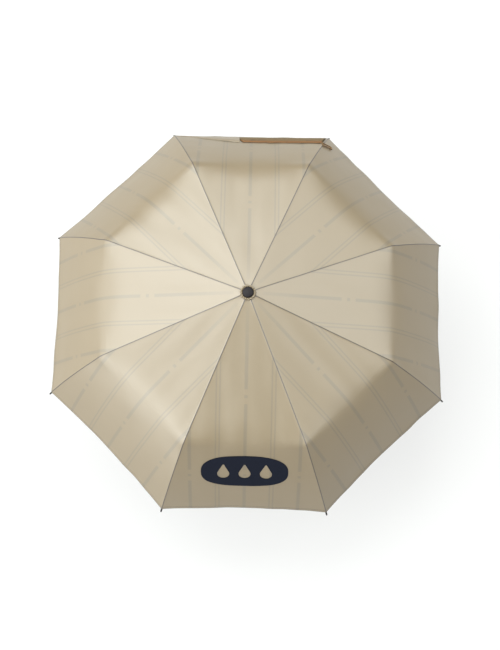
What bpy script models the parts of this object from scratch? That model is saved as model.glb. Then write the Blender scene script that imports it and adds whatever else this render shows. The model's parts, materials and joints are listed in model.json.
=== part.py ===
"""Folding umbrella: a three-fold, eight-rib compact umbrella, standing open on its shaft.

Metres, +Z up the shaft. The origin is on the shaft's axis at the handle's flat bottom end.
"""
import math

import bmesh
import bpy
from mathutils import Matrix, Vector

MM = 0.001

# Driving dimensions. A rib is a chain of three rods between four pivots:
# crown -> elbow (inner rib), elbow -> knee (middle rib), knee -> tip (outer rib).
RIB_COUNT = 8
FIRST_RIB_DEG = 22.5
CROWN_Z = 562 * MM
PIVOT_R = 10.5 * MM
RIB_SLOPE_DEG = 11.1
INNER_LENGTH = 166 * MM
MIDDLE_LENGTH = 166 * MM
OUTER_LENGTH = 210 * MM
OUTER_SLOPE_DEG = 49.5
OUTER_BOW = 7.5 * MM
PIVOT_LIFT = 2.4 * MM

# Pressed steel channel of the inner and middle ribs.
CHANNEL_HALF_WIDTH = 2.2 * MM
CHANNEL_HALF_HEIGHT = 2.0 * MM
CHANNEL_WALL = 0.5 * MM
WEB_CUT_BACK = 10 * MM
EAR_R = 1.6 * MM
TAB_HALF_WIDTH = 1.2 * MM
PIN_R = 0.6 * MM
PIN_HOLE_R = 0.95 * MM
PIN_HEAD = 0.3 * MM
PIN_TURN_DEG = 7

# Stretcher, from its pivot on the inner rib down to the runner, and the link beside it.
STRETCHER_AT = 58 * MM
STRETCHER_DROP = 0.6 * MM
STRETCHER_LENGTH = 105 * MM
STRETCHER_TURN_DEG = 112.3
STRETCHER_HALF_WIDTH = 1.3 * MM
STRETCHER_HALF_HEIGHT = 1.2 * MM
LINK_AT = 12 * MM
LINK_LENGTH = 105.6 * MM
LINK_TURN_DEG = -118.3
LINK_HALF_HEIGHT = 0.9 * MM
LINK_THICKNESS = 0.5 * MM
LINK_OFFSET = 2.6 * MM
LEVER_END = (-7.5 * MM, -3.0 * MM)

# Outer rib wire and its tip.
WIRE_R = 1.3 * MM
WIRE_END_R = 0.9 * MM
TIP_R = 1.9 * MM
TIP_LENGTH = 13 * MM
TIP_CUP = 5 * MM

# Shaft: three tubes, the widest at the top, each sliding over the one below.
TOP_TUBE = (6.0 * MM, 5.4 * MM)
MIDDLE_TUBE = (4.6 * MM, 4.1 * MM)
LOWER_TUBE = (3.6 * MM, 3.1 * MM)
TOP_TUBE_Z = (CROWN_Z - 189 * MM, CROWN_Z + 1 * MM)
MIDDLE_TUBE_Z = (220.5 * MM, 400.5 * MM)
LOWER_TUBE_Z = (34 * MM, 250 * MM)

# Runner, measured from the stretchers' pivot ring.
RUNNER_Z = CROWN_Z - 99.4 * MM
RUNNER_BORE_R = 6.3 * MM
RUNNER_NECK_R = 7.6 * MM
RUNNER_FLANGE_R = 12.5 * MM
RUNNER_GRIP_R = 9.6 * MM
RUNNER_BOTTOM = 25.5 * MM
NOTCH_WIDTH = 3.2 * MM
BUTTON_SIZE = (2.4 * MM, 5.0 * MM, 8.0 * MM)
BUTTON_INNER_X = 8.1 * MM
BUTTON_Z = RUNNER_Z - 17 * MM
BUTTON_GAP = 0.35 * MM

HANDLE_TOP = 72 * MM
END_CAP_TOP = 5 * MM
TOUCH_GAP = 0.3 * MM

# Canopy.
CANOPY_LIFT = 4.8 * MM
CANOPY_THICKNESS = 0.5 * MM
CANOPY_HOLE_R = 4.0 * MM
CANOPY_HOLE_Z = 4.4 * MM
HEM_SCALLOP = 0.018
PANEL_STRIPS = 4

# Tie strap, sewn to the middle of the +Y panel's hem, with its closing loop over the next rib.
STRAP_WIDTH = 24 * MM
STRAP_THICKNESS = 0.8 * MM
STRAP_LIFT = 1.1 * MM
STRAP_SPAN = (-0.96, 0.16)
# Where the loop starts and ends: from the rib, and up from the hem.
LOOP_START = (2 * MM, 56 * MM)
LOOP_END = (26 * MM, 32 * MM)
LOOP_WIDTH = 9 * MM
LOOP_WIRE_R = 1.1 * MM

COLOURS = {
    "pongee_beige": ((0.68, 0.58, 0.43), 0.55, 0.0),
    "plastic_charcoal": ((0.035, 0.035, 0.037), 0.45, 0.0),
    "steel_bright": ((0.62, 0.62, 0.63), 0.30, 1.0),
    "steel_black": ((0.05, 0.05, 0.052), 0.38, 0.8),
    "strap_tan": ((0.36, 0.20, 0.09), 0.7, 0.0),
    "elastic_brown": ((0.10, 0.06, 0.04), 0.8, 0.0),
}


def clear_scene():
    for old in list(bpy.data.objects):
        bpy.data.objects.remove(old, do_unlink=True)


def new_collection(name):
    collection = bpy.data.collections.new(name)
    bpy.context.scene.collection.children.link(collection)
    return collection


clear_scene()
PARTS = new_collection("folding_umbrella")
CUTTERS = new_collection("cutters")


def material(name):
    found = bpy.data.materials.get(name)
    if found:
        return found
    colour, roughness, metallic = COLOURS[name]
    made = bpy.data.materials.new(name)
    made.use_nodes = True
    shader = made.node_tree.nodes["Principled BSDF"]
    shader.inputs["Base Color"].default_value = (*colour, 1.0)
    shader.inputs["Roughness"].default_value = roughness
    shader.inputs["Metallic"].default_value = metallic
    return made


def add_part(name, mesh, finish, parent=None, location=(0, 0, 0), turn_y_deg=0.0):
    part = bpy.data.objects.new(name, mesh)
    PARTS.objects.link(part)
    if not mesh.materials:
        mesh.materials.append(material(finish))
    part.parent = parent
    part.location = location
    part.rotation_euler = (0, math.radians(turn_y_deg), 0)
    return part


def evaluated_mesh(shape, name):
    """The shape's mesh with its modifiers applied and its transform baked in."""
    graph = bpy.context.evaluated_depsgraph_get()
    mesh = bpy.data.meshes.new_from_object(shape.evaluated_get(graph))
    mesh.transform(shape.matrix_world)
    mesh.name = name
    work = bmesh.new()
    work.from_mesh(mesh)
    bmesh.ops.remove_doubles(work, verts=work.verts, dist=1e-6)
    bmesh.ops.recalc_face_normals(work, faces=work.faces)
    work.to_mesh(mesh)
    work.free()
    return mesh


def smooth(mesh, angle_deg=35):
    mesh.shade_smooth()
    mesh.set_sharp_from_angle(angle=math.radians(angle_deg))
    return mesh


def guide(name, data):
    """A shape that only serves to build a part: it goes with the cutters."""
    shape = bpy.data.objects.new(name, data)
    CUTTERS.objects.link(shape)
    shape.hide_render = True
    shape.display_type = "WIRE"
    return shape


def combined(name, base, others, operation="UNION"):
    """One mesh from a base shape and the shapes added to it or cut from it."""
    for other in others:
        step = base.modifiers.new(other.name, "BOOLEAN")
        step.operation = operation
        step.object = other
    bpy.context.view_layer.update()
    mesh = evaluated_mesh(base, name)
    for shape in [base, *others]:
        bpy.data.objects.remove(shape, do_unlink=True)
    return mesh


def plate(name, outline, low_y, high_y):
    """A flat outline in x and z, given in order, with a thickness from low_y to high_y."""
    curve = bpy.data.curves.new(name, "CURVE")
    curve.dimensions = "2D"
    curve.fill_mode = "BOTH"
    curve.extrude = (high_y - low_y) / 2
    spline = curve.splines.new("POLY")
    spline.points.add(len(outline) - 1)
    for point, (x, z) in zip(spline.points, outline):
        point.co = (x, z, 0, 1)
    spline.use_cyclic_u = True
    shape = guide(name + "_outline", curve)
    shape.rotation_euler = (math.pi / 2, 0, 0)
    shape.location = (0, (low_y + high_y) / 2, 0)
    bpy.context.view_layer.update()
    mesh = evaluated_mesh(shape, name)
    bpy.data.objects.remove(shape, do_unlink=True)
    return guide(name, mesh)


def block(name, low, high):
    work = bmesh.new()
    bmesh.ops.create_cube(work, size=1.0)
    size = Vector(high) - Vector(low)
    bmesh.ops.scale(work, vec=size, verts=work.verts)
    bmesh.ops.translate(work, vec=(Vector(high) + Vector(low)) / 2, verts=work.verts)
    mesh = bpy.data.meshes.new(name)
    work.to_mesh(mesh)
    work.free()
    return guide(name, mesh)


def cross_pin(name, x, z, radius, low_y, high_y):
    """A pin or a hole cutter across the rib, along y."""
    work = bmesh.new()
    place = Matrix.Translation((x, (low_y + high_y) / 2, z)) @ Matrix.Rotation(math.pi / 2, 4, "X")
    place = place @ Matrix.Rotation(math.radians(PIN_TURN_DEG), 4, "Z")
    bmesh.ops.create_cone(
        work, cap_ends=True, segments=8, radius1=radius, radius2=radius,
        depth=high_y - low_y, matrix=place,
    )
    mesh = bpy.data.meshes.new(name)
    work.to_mesh(mesh)
    work.free()
    return guide(name, mesh)


def turned(name, profile, steps=32):
    """A solid turned about Z: the profile runs down the outer side, as (radius, z)."""
    mesh = bpy.data.meshes.new(name + "_profile")
    loop = list(profile)
    closed = loop[0][0] > 0
    edges = [(i, i + 1) for i in range(len(loop) - 1)]
    if closed:
        edges.append((len(loop) - 1, 0))
    mesh.from_pydata([(r, 0, z) for r, z in loop], edges, [])
    shape = guide(name + "_turned", mesh)
    screw = shape.modifiers.new("turn", "SCREW")
    screw.steps = screw.render_steps = steps
    screw.use_merge_vertices = True
    screw.merge_threshold = 1e-6
    screw.use_smooth_shade = False
    bpy.context.view_layer.update()
    made = evaluated_mesh(shape, name)
    bpy.data.objects.remove(shape, do_unlink=True)
    return made


def arc(x, z, radius, from_deg, to_deg, steps=4):
    angles = [from_deg + (to_deg - from_deg) * i / steps for i in range(steps + 1)]
    return [(x + radius * math.cos(math.radians(a)), z + radius * math.sin(math.radians(a))) for a in angles]


def capsule(start, end, start_r, end_r):
    """The outline around two circles of a flat bar with round ends."""
    heading = math.degrees(math.atan2(end[1] - start[1], end[0] - start[0]))
    return (
        arc(*end, end_r, heading - 90, heading + 90)
        + arc(*start, start_r, heading + 90, heading + 270)
    )


# ---------------------------------------------------------------- one rib's pieces

def inner_rib_mesh():
    half, height = CHANNEL_HALF_WIDTH, CHANNEL_HALF_HEIGHT
    start = 4 * MM
    end = INNER_LENGTH
    side = [(start, -height), (end + EAR_R, -height)]
    side += arc(end, PIVOT_LIFT, EAR_R, 0, 180)
    side += [(end - EAR_R, height), (start, height)]
    left = plate("side_left", side, half - CHANNEL_WALL, half)
    right = plate("side_right", side, -half, -half + CHANNEL_WALL)
    skin = 0.05 * MM
    web = block(
        "web", (start, -half + skin, height - CHANNEL_WALL - skin),
        (end - WEB_CUT_BACK, half - skin, height - skin),
    )
    tab = plate(
        "crown_tab",
        arc(0, 0, 1.5 * MM, 90, 270) + [(9 * MM, -1.5 * MM), (9 * MM, 1.7 * MM), (3.4 * MM, 1.7 * MM)],
        -TAB_HALF_WIDTH, TAB_HALF_WIDTH,
    )
    pins = [
        cross_pin("elbow_pin", end, PIVOT_LIFT, PIN_R, -half - PIN_HEAD, half - skin),
        cross_pin("stretcher_pin", STRETCHER_AT, -STRETCHER_DROP, PIN_R, -half - PIN_HEAD, half - skin),
    ]
    return combined("inner_rib", left, [web, right, tab, *pins])


def middle_rib_mesh():
    """The origin is the elbow pivot, above the channel; the knee pivot is below it."""
    half, height = CHANNEL_HALF_WIDTH, CHANNEL_HALF_HEIGHT
    centre = -PIVOT_LIFT
    start, end = 3 * MM, MIDDLE_LENGTH
    knee_z = centre - PIVOT_LIFT
    side = [(start, centre - height), (end - EAR_R, centre - height)]
    side += arc(end, knee_z, EAR_R, 180, 360)
    side += [(end + EAR_R, centre + height), (start, centre + height)]
    left = plate("side_left", side, half - CHANNEL_WALL, half)
    right = plate("side_right", side, -half, -half + CHANNEL_WALL)
    skin = 0.05 * MM
    web = block(
        "web", (start, -half + skin, centre + height - CHANNEL_WALL - skin),
        (end - WEB_CUT_BACK, half - skin, centre + height - skin),
    )
    root = [(10 * MM, centre - 0.5 * MM), (10 * MM, centre + height - 0.25 * MM)]
    tab = plate(
        "elbow_tab", arc(0, 0, EAR_R, 60, 270) + root,
        -TAB_HALF_WIDTH, TAB_HALF_WIDTH,
    )
    lever = plate(
        "lever", capsule((0, 0), LEVER_END, 1.4 * MM, 1.2 * MM),
        -TAB_HALF_WIDTH + 2 * skin, TAB_HALF_WIDTH - 2 * skin,
    )
    pin = cross_pin("knee_pin", end, knee_z, PIN_R, -half - PIN_HEAD, half - skin)
    body = guide("middle_body", combined("middle_body", left, [web, right, tab, lever, pin]))
    hole = cross_pin("elbow_hole", 0, 0, PIN_HOLE_R, -2 * half, 2 * half)
    return combined("middle_rib", body, [hole], "DIFFERENCE")


def bow_at(x):
    """Height of the outer rib's wire above its knee pivot, along the rib."""
    along = x / OUTER_LENGTH
    return PIVOT_LIFT + 4 * OUTER_BOW * along * (1 - along)


def outer_rib_mesh():
    """The origin is the knee pivot: an eye there, then a bowed wire that tapers to the tip."""
    start = 4 * MM
    curve = bpy.data.curves.new("wire", "CURVE")
    curve.dimensions = "3D"
    curve.bevel_depth = WIRE_R
    curve.bevel_resolution = 2
    curve.use_fill_caps = True
    spline = curve.splines.new("POLY")
    count = 9
    spline.points.add(count - 1)
    for i, point in enumerate(spline.points):
        x = start + (OUTER_LENGTH - start) * i / (count - 1)
        point.co = (x, 0, bow_at(x), 1)
        point.radius = 1 + (WIRE_END_R / WIRE_R - 1) * (i / (count - 1))
    shape = guide("wire", curve)
    bpy.context.view_layer.update()
    wire = guide("wire_solid", evaluated_mesh(shape, "wire"))
    bpy.data.objects.remove(shape, do_unlink=True)
    eye_end = (9 * MM, bow_at(9 * MM))
    eye = plate("knee_eye", capsule((0, 0), eye_end, EAR_R, 0.9 * MM), -TAB_HALF_WIDTH, TAB_HALF_WIDTH)
    body = guide("outer_body", combined("outer_body", wire, [eye]))
    hole = cross_pin("knee_hole", 0, 0, PIN_HOLE_R, -4 * MM, 4 * MM)
    return combined("outer_rib", body, [hole], "DIFFERENCE")


def tip_mesh():
    """A round plastic tip, open at its back, that caps the wire's end."""
    bore = WIRE_END_R + TOUCH_GAP + 0.1 * MM
    nose = TIP_LENGTH - TIP_CUP
    profile = [
        (0.01 * MM, nose), (1.3 * MM, nose - 0.7 * MM),
        (TIP_R, nose - 3 * MM), (TIP_R, -TIP_CUP), (bore, -TIP_CUP),
        (bore, TOUCH_GAP), (0.01 * MM, TOUCH_GAP),
    ]
    mesh = turned("rib_tip", profile, steps=8)
    mesh.transform(Matrix.Rotation(math.pi / 2, 4, "Y"))
    return smooth(mesh)


def stretcher_mesh():
    bar = plate(
        "stretcher_bar",
        capsule((0, 0), (STRETCHER_LENGTH, 0), STRETCHER_HALF_HEIGHT, STRETCHER_HALF_HEIGHT),
        -STRETCHER_HALF_WIDTH, STRETCHER_HALF_WIDTH,
    )
    hole = cross_pin("stretcher_hole", 0, 0, PIN_HOLE_R, -3 * MM, 3 * MM)
    return combined("stretcher", bar, [hole], "DIFFERENCE")


def link_mesh():
    bar = plate(
        "link_bar", capsule((0, 0), (LINK_LENGTH, 0), LINK_HALF_HEIGHT, LINK_HALF_HEIGHT),
        LINK_OFFSET, LINK_OFFSET + LINK_THICKNESS,
    )
    hole = cross_pin("link_hole", 0, 0, 0.4 * MM, 0, 5 * MM)
    return combined("link", bar, [hole], "DIFFERENCE")


def build_ribs():
    inner, middle, outer = inner_rib_mesh(), middle_rib_mesh(), outer_rib_mesh()
    tip, stretcher, link = tip_mesh(), stretcher_mesh(), link_mesh()
    end_slope = math.degrees(math.atan(4 * OUTER_BOW / OUTER_LENGTH))
    for number in range(1, RIB_COUNT + 1):
        azimuth = FIRST_RIB_DEG + (number - 1) * 360 / RIB_COUNT
        plane = bpy.data.objects.new(f"rib_plane_{number}", None)
        PARTS.objects.link(plane)
        plane.rotation_euler = (0, 0, math.radians(azimuth))
        a = add_part(f"inner_rib_{number}", inner, "steel_black", plane, (PIVOT_R, 0, CROWN_Z), RIB_SLOPE_DEG)
        b = add_part(f"middle_rib_{number}", middle, "steel_black", a, (INNER_LENGTH, 0, PIVOT_LIFT))
        c = add_part(
            f"outer_rib_{number}", outer, "steel_bright", b,
            (MIDDLE_LENGTH, 0, -2 * PIVOT_LIFT), OUTER_SLOPE_DEG - RIB_SLOPE_DEG,
        )
        add_part(
            f"rib_tip_{number}", tip, "plastic_charcoal", c,
            (OUTER_LENGTH, 0, bow_at(OUTER_LENGTH)), end_slope,
        )
        d = add_part(
            f"stretcher_{number}", stretcher, "steel_black", a,
            (STRETCHER_AT, 0, -STRETCHER_DROP), STRETCHER_TURN_DEG,
        )
        add_part(f"link_{number}", link, "steel_bright", d, (LINK_AT, 0, 0), LINK_TURN_DEG)


# ---------------------------------------------------------------- shaft, crown, runner, handle

def tube(name, radii, span):
    outer, inner = radii
    low, high = span
    mesh = turned(name, [(outer, high), (outer, low), (inner, low), (inner, high)], steps=24)
    return add_part(name, smooth(mesh), "steel_bright")


def notch_cutters(prefix, inner_r, low_z, high_z):
    """A box through the flange at each rib, to cut a slot that is open outward."""
    cutters = []
    for number in range(RIB_COUNT):
        cutter = block(
            f"{prefix}_{number}", (inner_r, -NOTCH_WIDTH / 2, low_z), (20 * MM, NOTCH_WIDTH / 2, high_z)
        )
        azimuth = math.radians(FIRST_RIB_DEG + number * 360 / RIB_COUNT)
        cutter.data.transform(Matrix.Rotation(azimuth, 4, "Z"))
        cutters.append(cutter)
    return cutters


def build_crown():
    """Notched ring that holds the inner ribs, over the top tube, with a stud for the cap."""
    socket_r = TOP_TUBE[0] + TOUCH_GAP
    z = CROWN_Z
    profile = [
        (0.01 * MM, z + 9 * MM), (2.7 * MM, z + 9 * MM), (3 * MM, z + 8.6 * MM), (3 * MM, z + 2.6 * MM),
        (12.6 * MM, z + 2.6 * MM), (13 * MM, z + 2.2 * MM), (13 * MM, z - 2.2 * MM), (12.6 * MM, z - 2.6 * MM),
        (8.4 * MM, z - 2.6 * MM), (8.4 * MM, z - 7 * MM), (socket_r, z - 7 * MM),
        (socket_r, TOP_TUBE_Z[1] + TOUCH_GAP), (0.01 * MM, TOP_TUBE_Z[1] + TOUCH_GAP),
    ]
    body = guide("crown_body", turned("crown_body", profile))
    mesh = combined("crown", body, notch_cutters("crown_notch", 8.7 * MM, z - 3 * MM, z + 3 * MM), "DIFFERENCE")
    add_part("crown", smooth(mesh), "plastic_charcoal")


def build_top_cap():
    """Shallow dome over the canopy's middle, pressed on the crown's stud."""
    z = CROWN_Z + 5.3 * MM
    radius, rise = 12 * MM, 6.5 * MM
    edge = 1.4 * MM
    dome = [
        (max(radius * math.cos(a), 0.01 * MM), z + edge + (rise - edge) * math.sin(a))
        for a in [math.radians(90 - 15 * i) for i in range(7)]
    ]
    bore_r = 3 * MM + TOUCH_GAP
    profile = dome + [
        (radius, z + 0.3 * MM), (radius - 0.4 * MM, z), (bore_r, z),
        (bore_r, CROWN_Z + 9 * MM + TOUCH_GAP), (0.01 * MM, CROWN_Z + 9 * MM + TOUCH_GAP),
    ]
    add_part("top_cap", smooth(turned("top_cap", profile)), "plastic_charcoal")


def build_runner():
    """Notched flange for the stretchers, a neck, and a grip with the release button's window."""
    z = RUNNER_Z
    profile = [
        (RUNNER_BORE_R, z + 6 * MM), (RUNNER_NECK_R - 0.3 * MM, z + 6 * MM), (RUNNER_NECK_R, z + 5.7 * MM),
        (RUNNER_NECK_R, z + 2.5 * MM), (RUNNER_FLANGE_R, z + 2.5 * MM), (RUNNER_FLANGE_R, z - 2.5 * MM),
        (RUNNER_NECK_R, z - 2.5 * MM), (RUNNER_NECK_R, z - 8 * MM), (RUNNER_GRIP_R, z - 9.5 * MM),
        (RUNNER_GRIP_R, z - 24 * MM), (RUNNER_GRIP_R - 1 * MM, z - RUNNER_BOTTOM),
        (RUNNER_BORE_R, z - RUNNER_BOTTOM),
    ]
    body = guide("runner_body", turned("runner_body", profile))
    cutters = notch_cutters("runner_notch", RUNNER_NECK_R + 0.3 * MM, z - 3 * MM, z + 3 * MM)
    width, height = BUTTON_SIZE[1:]
    cutters.append(
        block(
            "button_window",
            (0, -width / 2 - BUTTON_GAP, BUTTON_Z - height / 2 - BUTTON_GAP),
            (15 * MM, width / 2 + BUTTON_GAP, BUTTON_Z + height / 2 + BUTTON_GAP),
        )
    )
    add_part("runner", smooth(combined("runner", body, cutters, "DIFFERENCE")), "plastic_charcoal")


def build_runner_button():
    depth, width, height = BUTTON_SIZE
    button = block(
        "button_block",
        (0, -width / 2, -height / 2), (depth, width / 2, height / 2),
    )
    edge = button.modifiers.new("edge", "BEVEL")
    edge.width = 0.6 * MM
    edge.segments = 2
    bpy.context.view_layer.update()
    mesh = evaluated_mesh(button, "runner_button")
    bpy.data.objects.remove(button, do_unlink=True)
    add_part("runner_button", smooth(mesh), "plastic_charcoal", None, (BUTTON_INNER_X, 0, BUTTON_Z))


def build_handle():
    """Straight grip, slightly waisted, with a blind socket for the lower tube."""
    socket_r = LOWER_TUBE[0] + TOUCH_GAP
    top, low = HANDLE_TOP, END_CAP_TOP + TOUCH_GAP
    profile = [
        (socket_r, top), (12.2 * MM, top), (13.4 * MM, top - 0.5 * MM), (14 * MM, top - 1.8 * MM),
        (14.6 * MM, top - 12 * MM), (15.2 * MM, top - 24 * MM), (15.9 * MM, top - 38 * MM),
        (16.5 * MM, top - 52 * MM), (16.5 * MM, low + 4 * MM), (16.2 * MM, low), (0.01 * MM, low),
        (0.01 * MM, LOWER_TUBE_Z[0] - TOUCH_GAP), (socket_r, LOWER_TUBE_Z[0] - TOUCH_GAP),
    ]
    add_part("handle", smooth(turned("handle", profile)), "plastic_charcoal")
    cap = [
        (0.01 * MM, END_CAP_TOP), (16.0 * MM, END_CAP_TOP), (16.2 * MM, END_CAP_TOP - 0.3 * MM),
        (15.8 * MM, 1.6 * MM), (14.6 * MM, 0.4 * MM), (13.2 * MM, 0), (0.01 * MM, 0),
    ]
    add_part("handle_end_cap", smooth(turned("handle_end_cap", cap)), "plastic_charcoal")


# ---------------------------------------------------------------- canopy and tie strap

def rib_point(x, lift):
    """A point over the inner and middle ribs, as radius and height."""
    slope = math.radians(RIB_SLOPE_DEG)
    radius = PIVOT_R + x * math.cos(slope) + lift * math.sin(slope)
    return radius, CROWN_Z - x * math.sin(slope) + lift * math.cos(slope)


def tail_point(x, lift):
    """A point over the outer rib's bowed wire, as radius and height."""
    knee_r, knee_z = rib_point(INNER_LENGTH + MIDDLE_LENGTH, -PIVOT_LIFT)
    slope = math.radians(OUTER_SLOPE_DEG)
    up = bow_at(x) + lift
    radius = knee_r + x * math.cos(slope) + up * math.sin(slope)
    return radius, knee_z - x * math.sin(slope) + up * math.cos(slope)


def canopy_profile():
    knee = rib_point(INNER_LENGTH + MIDDLE_LENGTH + 3 * MM, CHANNEL_HALF_HEIGHT + 1.6 * MM)
    points = [(CANOPY_HOLE_R, CROWN_Z + CANOPY_HOLE_Z), (13 * MM, CROWN_Z + CANOPY_HOLE_Z)]
    points += [rib_point(x * MM, CANOPY_LIFT) for x in (20, 90, 170, 240, 300)]
    points += [knee]
    points += [tail_point(x * MM, 2.3 * MM) for x in (30, 90, 150)]
    points += [tail_point(OUTER_LENGTH - 2 * MM, 2.8 * MM)]
    return points


PROFILE = canopy_profile()


def on_profile(share):
    """Radius and height at a share, 0 to 1, of the profile's length."""
    lengths = [math.dist(a, b) for a, b in zip(PROFILE, PROFILE[1:])]
    left = share * sum(lengths)
    for (a, b), length in zip(zip(PROFILE, PROFILE[1:]), lengths):
        if left <= length or b is PROFILE[-1]:
            k = left / length
            return a[0] + (b[0] - a[0]) * k, a[1] + (b[1] - a[1]) * k
        left -= length


def panel_point(panel_deg, across, share, lift=0.0):
    """A point of one panel. across runs from -1 to 1, clockwise rib to counter-clockwise rib."""
    share = share * (1 - HEM_SCALLOP * (1 - across * across) * share ** 3)
    radius, height = on_profile(share)
    next_r, next_z = on_profile(min(share + 0.004, 1.0))
    last_r, last_z = on_profile(share - 0.004 if share > 0.004 else 0.0)
    slope = math.atan2(last_z - next_z, next_r - last_r)
    half = math.pi / RIB_COUNT
    along = radius * math.cos(half) + lift * math.sin(slope)
    sideways = radius * math.sin(half) * across
    turn = math.radians(panel_deg)
    x = along * math.cos(turn) - sideways * math.sin(turn)
    y = along * math.sin(turn) + sideways * math.cos(turn)
    return x, y, height + lift * math.cos(slope)


def skinned(name, rows, closed, thickness):
    """A sheet through rows of points, thickened evenly about them."""
    work = bmesh.new()
    grid = [[work.verts.new(p) for p in row] for row in rows]
    for upper, lower in zip(grid, grid[1:]):
        count = len(upper)
        for i in range(count if closed else count - 1):
            j = (i + 1) % count
            work.faces.new((upper[i], lower[i], lower[j], upper[j]))
    mesh = bpy.data.meshes.new(name + "_sheet")
    work.to_mesh(mesh)
    work.free()
    shape = guide(name + "_sheet", mesh)
    skin = shape.modifiers.new("skin", "SOLIDIFY")
    skin.thickness = thickness
    skin.offset = 0
    bpy.context.view_layer.update()
    made = evaluated_mesh(shape, name)
    bpy.data.objects.remove(shape, do_unlink=True)
    return made


def build_canopy():
    total = sum(math.dist(a, b) for a, b in zip(PROFILE, PROFILE[1:]))
    walked = [0.0]
    for a, b in zip(PROFILE, PROFILE[1:]):
        walked.append(walked[-1] + math.dist(a, b) / total)
    rows = []
    for share in walked:
        row = []
        for panel in range(RIB_COUNT):
            panel_deg = panel * 360 / RIB_COUNT
            for i in range(PANEL_STRIPS):
                row.append(panel_point(panel_deg, -1 + 2 * i / PANEL_STRIPS, share))
        rows.append(row)
    mesh = skinned("canopy", rows, True, CANOPY_THICKNESS)
    add_part("canopy", smooth(mesh, 20), "pongee_beige")


def build_strap():
    """The strap lies on the +Y panel along its hem; the loop lies on the next panel."""
    total = sum(math.dist(a, b) for a, b in zip(PROFILE, PROFILE[1:]))
    hem_share = 1 - 3 * MM / total
    top_share = hem_share - STRAP_WIDTH / total
    count = 9
    rows = []
    for share in (top_share, (top_share + hem_share) / 2, hem_share):
        row = []
        for i in range(count):
            across = STRAP_SPAN[0] + (STRAP_SPAN[1] - STRAP_SPAN[0]) * i / (count - 1)
            row.append(panel_point(90, across, share, STRAP_LIFT))
        rows.append(row)
    mesh = skinned("closure_strap", rows, False, STRAP_THICKNESS)
    add_part("closure_strap", smooth(mesh), "strap_tan")

    curve = bpy.data.curves.new("strap_loop", "CURVE")
    curve.dimensions = "3D"
    curve.bevel_depth = LOOP_WIRE_R
    curve.bevel_resolution = 2
    spline = curve.splines.new("POLY")
    count = 20
    spline.points.add(count - 1)
    start_x, start_y = LOOP_START
    reach_x, reach_y = LOOP_END[0] - start_x, LOOP_END[1] - start_y
    reach = math.hypot(reach_x, reach_y)
    for i, point in enumerate(spline.points):
        turn = 2 * math.pi * i / count
        along = (1 - math.cos(turn)) / 2
        aside = LOOP_WIDTH / 2 * math.sin(turn) / reach
        from_rib = start_x + reach_x * along - reach_y * aside
        from_hem = start_y + reach_y * along + reach_x * aside
        share = 1 - from_hem / total
        across = 1 - from_rib / (on_profile(share)[0] * math.sin(math.pi / RIB_COUNT))
        point.co = (*panel_point(45, across, share, LOOP_WIRE_R + 0.8 * MM), 1)
    spline.use_cyclic_u = True
    shape = guide("strap_loop_route", curve)
    bpy.context.view_layer.update()
    mesh = evaluated_mesh(shape, "strap_loop")
    bpy.data.objects.remove(shape, do_unlink=True)
    add_part("strap_loop", smooth(mesh), "elastic_brown")


build_ribs()
tube("shaft_top", TOP_TUBE, TOP_TUBE_Z)
tube("shaft_middle", MIDDLE_TUBE, MIDDLE_TUBE_Z)
tube("shaft_lower", LOWER_TUBE, LOWER_TUBE_Z)
build_crown()
build_top_cap()
build_runner()
build_runner_button()
build_handle()
build_canopy()
build_strap()
bpy.context.view_layer.update()
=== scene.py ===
import json
import math

import bmesh
import bpy
from mathutils import Matrix, Vector, noise


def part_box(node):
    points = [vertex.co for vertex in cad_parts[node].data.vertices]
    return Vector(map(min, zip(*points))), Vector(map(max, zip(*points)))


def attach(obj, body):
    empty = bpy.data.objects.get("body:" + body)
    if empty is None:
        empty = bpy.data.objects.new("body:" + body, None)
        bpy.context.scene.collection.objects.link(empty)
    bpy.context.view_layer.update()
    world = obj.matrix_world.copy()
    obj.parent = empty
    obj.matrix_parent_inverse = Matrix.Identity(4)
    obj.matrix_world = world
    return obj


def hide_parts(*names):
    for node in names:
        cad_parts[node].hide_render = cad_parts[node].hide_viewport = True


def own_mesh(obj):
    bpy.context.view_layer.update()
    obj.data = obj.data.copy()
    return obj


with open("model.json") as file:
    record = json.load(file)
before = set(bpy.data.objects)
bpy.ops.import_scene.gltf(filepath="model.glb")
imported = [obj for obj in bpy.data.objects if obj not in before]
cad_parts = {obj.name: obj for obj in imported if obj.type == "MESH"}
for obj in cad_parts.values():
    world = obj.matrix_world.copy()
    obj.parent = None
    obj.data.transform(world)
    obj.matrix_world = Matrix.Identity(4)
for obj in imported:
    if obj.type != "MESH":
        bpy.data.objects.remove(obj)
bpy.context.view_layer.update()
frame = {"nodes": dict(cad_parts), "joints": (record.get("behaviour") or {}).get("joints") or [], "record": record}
mm = 0.001
ribCount = 8
joints = {joint["name"]: joint for joint in frame["joints"]}
foldJoint = "canopy_fold"


# small helpers

def hexLinear(code):
    # an sRGB hex colour as linear red, green, blue and alpha
    values = [int(code[i:i + 2], 16) / 255 for i in (1, 3, 5)]
    return (*[v / 12.92 if v <= 0.04045 else ((v + 0.055) / 1.055) ** 2.4 for v in values], 1.0)


def newMaterial(name):
    made = bpy.data.materials.new(name)
    made.use_nodes = True
    tree = made.node_tree
    return made, tree, tree.nodes["Principled BSDF"]


def setInputs(tree, node, inputs):
    # inputs maps a socket's name or number to a value, a socket, or a node for its first output
    for key, value in inputs.items():
        if isinstance(value, bpy.types.Node):
            value = value.outputs[0]
        if isinstance(value, bpy.types.NodeSocket):
            tree.links.new(value, node.inputs[key])
        else:
            node.inputs[key].default_value = value


def addNode(tree, kind, inputs=None, **settings):
    node = tree.nodes.new("ShaderNode" + kind)
    for key, value in settings.items():
        setattr(node, key, value)
    setInputs(tree, node, inputs or {})
    return node


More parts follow.
